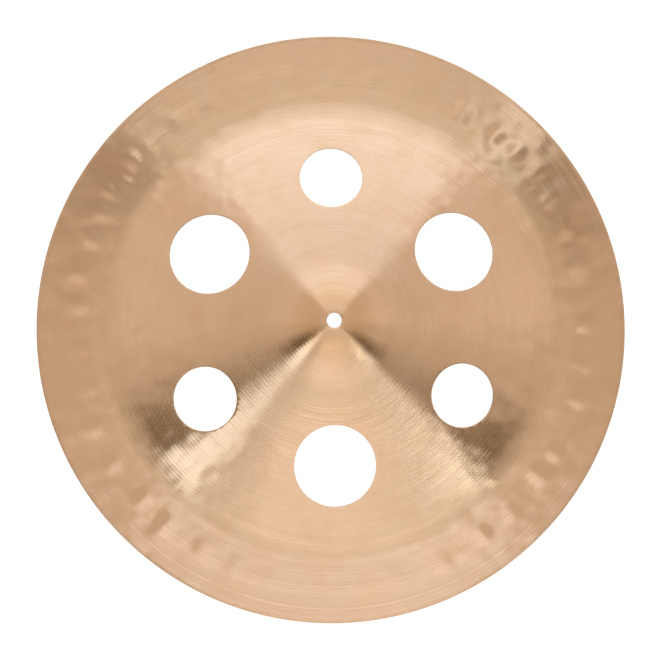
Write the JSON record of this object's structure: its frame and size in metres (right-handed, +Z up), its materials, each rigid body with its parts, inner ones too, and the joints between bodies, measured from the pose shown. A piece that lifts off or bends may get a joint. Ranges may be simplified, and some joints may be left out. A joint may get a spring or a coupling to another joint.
{
  "type": "china cymbal",
  "caption": "Thin bronze china cymbal with a small bell, an up-turned hammered flange and round cut-outs of two sizes.",
  "frame": {"origin": "on the axis, in the plane that the underside of the bend rests on", "axes": "+Z up along the axis, out of the bell; +Y towards a small cut-out, the uppermost one in the picture"},
  "size_m": [0.4572, 0.4572, 0.0432],
  "materials": {
    "bronze": "fine lathed bronze, satin"
  },
  "bodies": {
    "root": {"cymbal": "bronze"}
  },
  "joints": []
}
